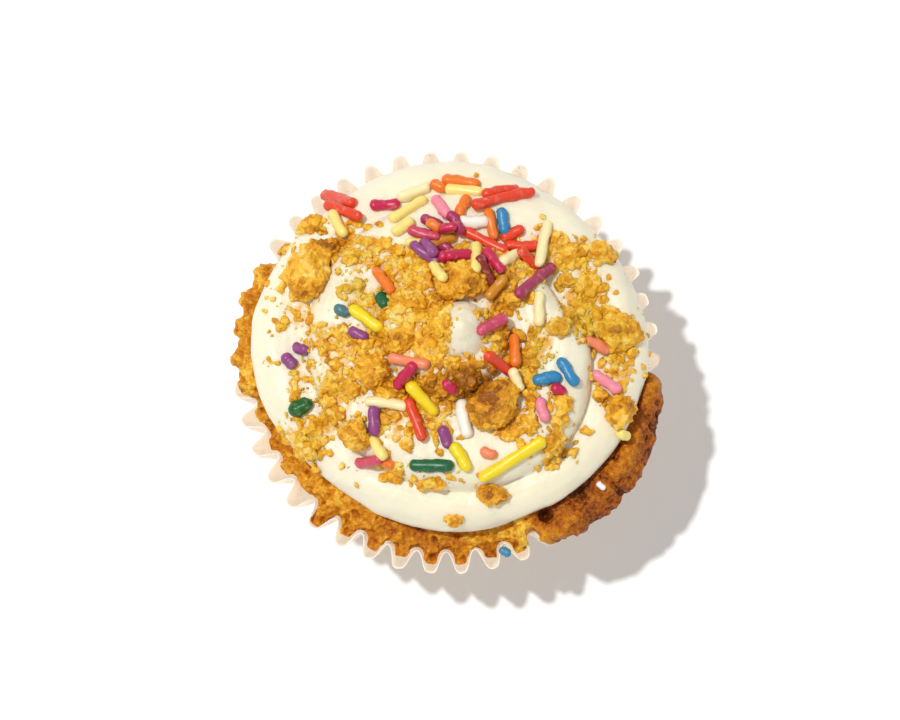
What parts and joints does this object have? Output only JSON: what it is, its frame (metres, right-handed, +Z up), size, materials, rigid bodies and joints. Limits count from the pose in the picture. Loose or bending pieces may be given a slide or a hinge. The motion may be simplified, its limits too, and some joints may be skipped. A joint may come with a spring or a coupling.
{
  "type": "cupcake",
  "caption": "Cupcake in a pleated paper case, its sponge risen over the rim, with a piped buttercream swirl, biscuit crumbs and sugar strands.",
  "frame": {"origin": "middle of the flat base that the paper case stands on", "axes": "+Z up, -Y towards the front, +X to the right as seen from the front"},
  "size_m": [0.0724, 0.0716, 0.0563],
  "materials": {
    "paper_case": "matte, slightly translucent greaseproof paper",
    "sponge": "golden-brown baked sponge, matte and porous",
    "buttercream": "soft satin buttercream, pale ivory",
    "crumb": "matte, sugary golden crumb"
  },
  "bodies": {
    "root": {"paper_case": "paper_case", "sponge": "sponge", "buttercream": "buttercream", "clump_upper_left": "crumb", "clump_left_rim": "crumb", "clump_back": "crumb", "clump_middle": "crumb", "clump_left": "crumb", "clump_front_left": "crumb", "clump_front": "crumb", "clump_right": "crumb", "clump_right_rim": "crumb"}
  },
  "joints": []
}
